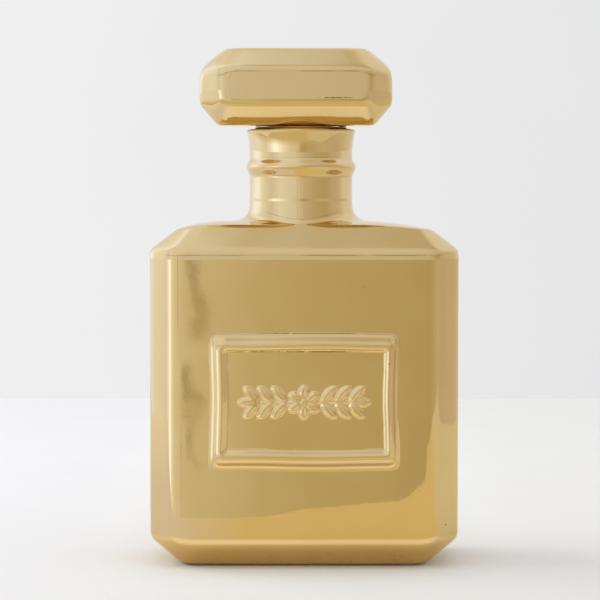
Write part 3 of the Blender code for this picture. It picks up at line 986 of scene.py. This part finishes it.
# Plain surfaces: share of the colour in the darker tone, roughness, scales of the fine and the
# broad grain, depth of the grain, scale of the specks if there are any, and further values.
SURFACES = {
    "inner_glaze": (
        0.86, 0.42, 700.0, 60.0, 0.00008, 240.0, {"Coat Weight": 0.25, "Coat Roughness": 0.2}
    ),
    "moulded_plug": (
        0.93, 0.42, 1400.0, 90.0, 0.00003, 0.0,
        {"Subsurface Weight": 0.15, "Subsurface Scale": 0.002},
    ),
    "amber_silicone": (
        0.85, 0.60, 1100.0, 120.0, 0.00002, 0.0,
        {"Subsurface Weight": 0.2, "Subsurface Scale": 0.002, "Specular IOR Level": 0.1},
    ),
    "soft_silicone": (
        0.90, 0.38, 1100.0, 120.0, 0.00002, 0.0,
        {"Subsurface Weight": 0.3, "Subsurface Scale": 0.003},
    ),
    "pressed_felt": (
        0.72, 0.95, 2600.0, 500.0, 0.00025, 0.0, {"Sheen Weight": 0.5, "Sheen Roughness": 0.5}
    ),
    "pale_table": (0.985, 0.55, 260.0, 9.0, 0.0004, 0.0, {"Specular IOR Level": 0.25}),
}


def surface(name, base):
    """A plain surface whose tone, roughness and height follow the fine grain."""
    if name in bpy.data.materials:
        return bpy.data.materials[name]
    darker, rough, fine, broad, depth, specks, constants = SURFACES[name]
    material, nodes, shader, place = new_material(name)
    grain = nodes.effect(
        fine_grain, {"Vector": place, "Fine": fine, "Broad": broad, "Broad Share": 0.6}
    )
    tone = nodes.mix(grain["Tone"], rgba(base), rgba([darker * part for part in base]))
    if specks:
        mask = nodes.effect(
            pinholes, {"Vector": place, "Scale": specks, "Size": 0.2, "Share": 0.3}
        )[0]
        tone = nodes.mix(nodes.times(mask, 0.5), tone, rgba([0.45 * part for part in base]))
    bump = nodes.add("Bump", {"Strength": 0.6, "Distance": depth, "Height": grain["Height"]})
    nodes.put(tone, shader["Base Color"])
    nodes.put(
        nodes.ramp(grain["Height"], 0.4, 1.2, rough * 0.85, rough * 1.15), shader["Roughness"]
    )
    nodes.put(bump.outputs[0], shader["Normal"])
    for socket, value in constants.items():
        shader[socket].default_value = value
    return material


# The room round the flacon. Each stop is an angle, with 0 towards the camera and 90 to the
# right, and the brightness that the plating mirrors from there. ROOM_LEVEL lies above the
# horizon, ROOM_BELOW just under it and ROOM_DEEP further down.
ROOM_PEAK = 3.0
ROOM_LEVEL = (
    (-180.0, (0.86, 0.86, 0.87)), (-150.0, (0.95, 1.00, 1.15)), (-125.0, (1.28, 1.50, 2.40)),
    (-110.0, (1.34, 1.60, 2.70)), (-95.0, (1.08, 1.22, 1.62)), (-70.0, (0.88, 0.95, 1.28)),
    (-48.0, (1.04, 1.16, 1.60)), (-20.0, (0.93, 1.02, 1.32)), (-5.2, (0.90, 0.97, 1.22)),
    (-4.0, (0.82, 0.86, 1.02)), (1.0, (0.79, 0.81, 0.93)), (8.0, (0.74, 0.73, 0.79)),
    (30.0, (0.66, 0.615, 0.58)), (55.0, (0.61, 0.55, 0.49)), (76.0, (0.70, 0.66, 0.70)),
    (92.0, (0.74, 0.71, 0.72)), (108.0, (0.90, 0.94, 1.14)), (180.0, (0.86, 0.86, 0.87)),
)
ROOM_BELOW = (
    (-180.0, (0.86, 0.86, 0.87)), (-110.0, (1.15, 1.30, 1.90)), (-85.0, (0.98, 1.05, 1.34)),
    (-72.0, (1.22, 1.36, 1.95)), (-60.0, (1.60, 1.84, 3.00)), (-40.0, (1.16, 1.28, 1.75)),
    (-22.0, (0.95, 1.00, 1.18)), (-5.3, (0.87, 0.90, 0.96)), (-4.35, (0.85, 0.87, 0.90)),
    (-3.9, (0.73, 0.70, 0.65)), (-3.5, (0.77, 0.76, 0.73)), (-2.5, (0.76, 0.75, 0.71)),
    (-1.3, (0.69, 0.65, 0.53)), (2.0, (0.65, 0.605, 0.475)), (5.0, (0.60, 0.545, 0.39)),
    (14.0, (0.64, 0.59, 0.52)), (48.0, (0.72, 0.69, 0.68)), (85.0, (0.69, 0.635, 0.62)),
    (120.0, (0.80, 0.80, 0.85)), (180.0, (0.86, 0.86, 0.87)),
)
ROOM_DEEP = (
    (-180.0, (0.86, 0.86, 0.87)), (-100.0, (0.70, 0.64, 0.52)), (-75.0, (0.80, 0.76, 0.66)),
    (0.0, (0.80, 0.74, 0.58)), (60.0, (0.70, 0.63, 0.48)), (180.0, (0.86, 0.86, 0.87)),
)
ROOM_TOP_LEFT = (0.95, 1.04, 1.32)
ROOM_TOP_MIDDLE = (0.75, 0.78, 0.86)
ROOM_TOP_RIGHT = (0.69, 0.67, 0.69)
ROOM_BEHIND_LEFT = (1.04, 1.20, 1.80)
ROOM_BEHIND_RIGHT = (0.66, 0.65, 0.70)
ROOM_RAISED = (1.0, 1.07, 1.35)
ROOM_DARK = rgba((0.085, 0.07, 0.015))
# Heights, in degrees, over which one part of the room gives way to the next.
BELOW_FROM = (-0.6, -1.3)
DEEP_FROM = (-8.0, -15.0)
RAISED_FROM, RAISED_TO = (14.0, 26.0), (70.0, 58.0)
CEILING_FROM = (64.0, 80.0)
SHELF_FROM, SHELF_TO = (5.0, 7.0), (11.0, 9.0)
# Slender dark things in the room: angle, height, half width, half height, lean and darkness.
ROOM_POSTS = (
    (-5.60, 2.0, 0.10, 9.0, 0.02, 0.30),
    (-4.40, 3.0, 0.07, 2.6, 0.0, 0.26),
    (-3.80, -2.4, 0.36, 1.4, -0.10, 0.46),
    (-4.16, -5.0, 0.50, 0.42, -0.5, 0.50),
    (-4.78, -6.8, 0.08, 1.5, 0.0, 0.60),
    (-3.78, -6.0, 0.08, 1.1, -0.095, 0.58),
    (-8.0, 1.0, 0.90, 5.0, 0.0, 0.30),
)


def seen_at(value):
    """A brightness of the room as a colour, which the light's strength brings back to size."""
    return rgba([part / ROOM_PEAK for part in value])


def room_wheel(nodes, around, stops):
    """A colour that follows the angle round the flacon."""
    node = nodes.add("ValToRGB", {"Fac": around})
    ramp = node.color_ramp
    for index, (degrees, value) in enumerate(stops):
        place = (degrees + 180.0) / 360.0
        stop = ramp.elements[index] if index < 2 else ramp.elements.new(place)
        stop.position = place
        stop.color = seen_at(value)
    return node.outputs["Color"]


def room_colour(nodes, way):
    """What the plating mirrors from each direction."""
    x, y, z = nodes.axes(way)
    turn = nodes.maths("ARCTAN2", x, nodes.times(y, -1.0))
    turn = nodes.times(turn, 180.0 / math.pi)
    around = nodes.ramp(turn, -180.0, 180.0)
    height = nodes.times(nodes.maths("ARCSINE", z), 180.0 / math.pi)
    level, below, deep = (
        room_wheel(nodes, around, stops) for stops in (ROOM_LEVEL, ROOM_BELOW, ROOM_DEEP)
    )
    mirrored = nodes.mix(nodes.ramp(height, *BELOW_FROM), level, below)
    mirrored = nodes.mix(nodes.ramp(height, *DEEP_FROM), mirrored, deep)
    left = nodes.ramp(x, -0.060, -0.030)
    ceiling = nodes.mix(left, seen_at(ROOM_TOP_LEFT), seen_at(ROOM_TOP_MIDDLE))
    ceiling = nodes.mix(nodes.ramp(x, 0.0, 0.060), ceiling, seen_at(ROOM_TOP_RIGHT))
    across = nodes.ramp(x, -0.055, 0.055)
    behind = nodes.mix(across, seen_at(ROOM_BEHIND_LEFT), seen_at(ROOM_BEHIND_RIGHT))
    ceiling = nodes.mix(nodes.ramp(y, -0.05, 0.20), ceiling, behind)
    mirrored = nodes.mix(nodes.ramp(height, *CEILING_FROM), mirrored, ceiling)
    raised = nodes.times(nodes.ramp(height, *RAISED_FROM), nodes.ramp(height, *RAISED_TO), 0.38)
    mirrored = nodes.mix(raised, mirrored, seen_at(ROOM_RAISED))
    # A long dark shelf, broken here and there, and then the posts.
    broken = nodes.add(
        "TexNoise", {"W": turn, "Scale": 0.45, "Detail": 1.0}, noise_dimensions="1D"
    ).outputs["Fac"]
    facing = nodes.ramp(nodes.off(turn), 100.0, 60.0)
    dark = nodes.times(nodes.ramp(height, *SHELF_FROM), nodes.ramp(height, *SHELF_TO), facing)
    dark = nodes.times(dark, nodes.ramp(broken, 0.44, 0.58, 0.12, 0.55))
    wobble = nodes.noise(way, 130.0, 6.0, 0.7)
    drifting = nodes.maths("ADD", turn, nodes.ramp(wobble, 0.3, 0.7, -0.36, 0.36))
    for angle, middle, wide, tall, lean, depth in ROOM_POSTS:
        above = nodes.maths("SUBTRACT", height, middle)
        leaning = nodes.maths("ADD", nodes.times(above, lean), angle)
        post = nodes.ramp(nodes.off(drifting, leaning), wide, 0.4 * wide)
        ends = nodes.ramp(nodes.off(above), tall, 0.8 * tall)
        dark = nodes.maths("MAXIMUM", dark, nodes.times(post, ends, depth))
    return nodes.mix(dark, mirrored, ROOM_DARK)


def room_light(stage):
    """The soft light of the room: what the plating mirrors, and an even light for the rest."""
    world = bpy.data.worlds.new("room")
    world.use_nodes = True
    bpy.context.scene.world = world
    world.node_tree.nodes.clear()
    nodes = Nodes(world.node_tree)
    way = nodes.add("TexCoord").outputs["Generated"]
    patches = nodes.ramp(nodes.noise(way, 14.0, 4.0), 0.3, 0.7, -0.006, 0.006)
    # Painted light: the backdrop that the camera sees is lighter on the left, a painted falloff of
    # the light from the left, with faint random patches.
    tone = nodes.maths("ADD", nodes.ramp(nodes.axes(way)[0], -0.13, 0.13, 0.868, 0.798), patches)
    painted_backdrop = nodes.add("CombineColor", {0: tone, 1: tone, 2: tone}).outputs[0]
    glossy, even, camera = (
        nodes.add("Background", {"Color": colour, "Strength": strength}).outputs[0]
        for colour, strength in (
            (room_colour(nodes, way), ROOM_PEAK),
            (rgba((1.0, 0.995, 0.985)), stage.fill),
            (painted_backdrop, 1.0),
        )
    )
    seen = nodes.add("LightPath").outputs
    light = nodes.add("MixShader", {0: seen["Is Glossy Ray"], 1: even, 2: glossy}).outputs[0]
    light = nodes.add("MixShader", {0: seen["Is Camera Ray"], 1: light, 2: camera}).outputs[0]
    nodes.add("OutputWorld", {"Surface": light})


# Painted light and shade on the mirrored table: a painted warm bounce where gold light warms it,
# painted bluish light by the window, painted light before the flacon, and painted warm shade with a
# faint painted glow at its foot.
PAINTED_GOLD_BOUNCE = rgba((0.86, 0.77, 0.56))
PAINTED_WINDOW_TONE = rgba((0.76, 0.76, 0.76))
PAINTED_FOOT_SHADE = rgba((0.78, 0.71, 0.58))
PAINTED_COOL_LIGHT, PAINTED_WINDOW_LIGHT = rgba((0.0, 0.01, 0.24)), rgba((0.04, 0.08, 0.36))
NO_PAINTED_LIGHT, PAINTED_FRONT_LIGHT = rgba((0.0, 0.0, 0.0)), rgba((0.26, 0.29, 0.36))
PAINTED_FOOT_LIGHT = rgba((0.07, 0.06, 0.05))


def mirrored_table(stage):
    """The table as the flacon mirrors it, with painted light: painted bluish light by the window, a
    painted warm bounce where gold light falls, painted light before the flacon and painted shade at
    its foot.
    """
    material, nodes, shader, place = new_material("mirrored_table")
    x, y, _ = nodes.axes(place)
    window = nodes.ramp(x, -0.10, -0.30)
    warm = nodes.times(nodes.ramp(x, -0.085, -0.035), nodes.ramp(y, -0.115, -0.150))
    warm = nodes.times(warm, nodes.ramp(x, 0.30, 0.12))
    near = nodes.times(nodes.ramp(y, -0.075, -0.055), nodes.ramp(nodes.off(x), 0.12, 0.08))
    before = nodes.times(nodes.ramp(y, -0.150, -0.115), nodes.ramp(nodes.off(x), 0.16, 0.08))
    # Painted light and shade in the table's colour: a warm gold bounce, a grey window tint and warm
    # shade at the foot.
    tone = nodes.mix(warm, rgba(stage.table_colour), PAINTED_GOLD_BOUNCE)
    tone = nodes.mix(near, nodes.mix(window, tone, PAINTED_WINDOW_TONE), PAINTED_FOOT_SHADE)
    # Painted light: the table glows bluish on the left, brighter before the flacon and faintly at
    # the foot, though it is no lamp.
    painted_light = nodes.mix(window, PAINTED_COOL_LIGHT, PAINTED_WINDOW_LIGHT)
    painted_light = nodes.mix(nodes.ramp(x, -0.085, -0.045), painted_light, NO_PAINTED_LIGHT)
    painted_light = nodes.mix(near, nodes.mix(before, painted_light, PAINTED_FRONT_LIGHT), PAINTED_FOOT_LIGHT)
    nodes.put(tone, shader["Base Color"])
    nodes.put(painted_light, shader["Emission Color"])
    shader["Roughness"].default_value = 0.9
    shader["Specular IOR Level"].default_value = 0.0
    shader["Emission Strength"].default_value = 1.0
    return material


# Stage

# Where the mirrored table ends towards the viewer, as (across, distance from the middle).
TABLE_FRONT = np.array([
    (-1.0, 0.24), (-0.03, 0.25), (0.0, 0.29), (0.05, 0.322), (0.075, 0.33), (0.105, 0.46),
    (0.13, 0.70), (0.25, 0.90), (0.9, 0.95),
])
MIRRORED_LOW = (-1.0, -0.24, 0.0003)
MIRRORED_RIGHT = 0.9
FLOOR_REACH = 4.0
KEY_PLACE = (-1.5, 0.3, 1.1)
KEY_TARGET = (0.0, 0.0, 0.1)
KEY_SIZE = 1.5


def placed(name, data, place, target):
    """Puts a light or a camera in the scene, turned towards a target."""
    thing = bpy.data.objects.new(name, data)
    thing.location = place
    thing.rotation_euler = (Vector(target) - Vector(place)).to_track_quat("-Z", "Y").to_euler()
    bpy.context.scene.collection.objects.link(thing)
    return thing


def hide(thing, *rays):
    """Hides a thing from some kinds of rays."""
    for kind in rays:
        setattr(thing, "visible_" + kind, False)


def sheet(name, low, high, material, columns=8):
    """A flat level sheet between two corners."""
    bm = bmesh.new()
    bmesh.ops.create_grid(bm, x_segments=columns, y_segments=8, size=0.5)
    size = Vector(high) - Vector(low)
    middle = 0.5 * (Vector(high) + Vector(low))
    bmesh.ops.scale(bm, vec=(size.x, size.y, 1.0), verts=bm.verts)
    bmesh.ops.translate(bm, vec=middle, verts=bm.verts)
    mesh = bpy.data.meshes.new(name)
    bm.to_mesh(mesh)
    bm.free()
    mesh.materials.append(material)
    made = bpy.data.objects.new(name, mesh)
    bpy.context.scene.collection.objects.link(made)
    return made


class FLACON_OT_stage(bpy.types.Operator):
    """Sets up the table, the soft light and the camera"""

    bl_idname = "flacon.stage"
    bl_label = "Stage"

    def execute(self, context):
        stage = settings().stage
        scene = context.scene
        scene.view_settings.view_transform = "Standard"
        back = stage.table_back
        plain = surface("pale_table", stage.table_colour)
        floor = sheet("floor", (-FLOOR_REACH, -FLOOR_REACH, 0.0), (FLOOR_REACH, back, 0.0), plain)
        hide(floor, "glossy")
        high = (MIRRORED_RIGHT, back, MIRRORED_LOW[2])
        mirrored = sheet("floor_mirrored", MIRRORED_LOW, high, mirrored_table(stage), 190)
        for vert in mirrored.data.vertices:
            if vert.co.y < MIRRORED_LOW[1] + 1e-4:
                vert.co.y = -float(np.interp(vert.co.x, *TABLE_FRONT.T))
        hide(mirrored, "camera", "diffuse", "shadow")
        room_light(stage)
        key = bpy.data.lights.new("window", "AREA")
        key.shape = "RECTANGLE"
        key.size, key.size_y = KEY_SIZE, KEY_SIZE
        key.energy = stage.key_power
        key.color = (1.0, 0.99, 0.97)
        lamp = placed("window", key, KEY_PLACE, KEY_TARGET)
        hide(lamp, "glossy", "camera")
        camera = bpy.data.cameras.new("camera")
        camera.lens = stage.lens
        camera.sensor_width = 36.0
        eye = (stage.camera_side, -stage.camera_distance, stage.camera_height)
        aim = (stage.camera_side, 0.0, stage.aim_height)
        scene.camera = placed("camera", camera, eye, aim)
        return {"FINISHED"}


# Add-on


SETTING_GROUPS = (
    ("body", BodySettings, "Body"),
    ("neck", NeckSettings, "Neck"),
    ("label", LabelSettings, "Label frame"),
    ("sprig", SprigSettings, "Sprig"),
    ("head", HeadSettings, "Stopper head"),
    ("closure", ClosureSettings, "Closure"),
    ("finish", FinishSettings, "Finishes"),
    ("stage", StageSettings, "Stage"),
)


class FlaconSettings(bpy.types.PropertyGroup):
    __annotations__ = {
        name: bpy.props.PointerProperty(type=kind, name=title, description=kind.__doc__)
        for name, kind, title in SETTING_GROUPS
    }


OPERATORS = (FLACON_OT_body, FLACON_OT_head, FLACON_OT_closure, FLACON_OT_pads, FLACON_OT_stage)


class FLACON_PT_panel(bpy.types.Panel):
    """Lists the flacon's settings and the operators that build it"""

    bl_idname = "FLACON_PT_panel"
    bl_label = "Flacon"
    bl_space_type = "VIEW_3D"
    bl_region_type = "UI"
    bl_category = "Flacon"

    def draw(self, context):
        made = context.scene.flacon
        for operator in OPERATORS:
            self.layout.operator(operator.bl_idname)
        for name, kind, title in SETTING_GROUPS:
            box = self.layout.box()
            box.label(text=title)
            for setting in kind.__annotations__:
                box.prop(getattr(made, name), setting)


CLASSES = (*(kind for _, kind, _ in SETTING_GROUPS), FlaconSettings, *OPERATORS, FLACON_PT_panel)


def register():
    for kind in CLASSES:
        bpy.utils.register_class(kind)
    bpy.types.Scene.flacon = bpy.props.PointerProperty(
        type=FlaconSettings, name="Flacon", description="Everything that can be set on the flacon"
    )


def unregister():
    del bpy.types.Scene.flacon
    for kind in reversed(CLASSES):
        bpy.utils.unregister_class(kind)


def main():
    register()
    for operator in OPERATORS:
        group_name, name = operator.bl_idname.split(".")
        getattr(getattr(bpy.ops, group_name), name)()


if __name__ == "__main__":
    main()
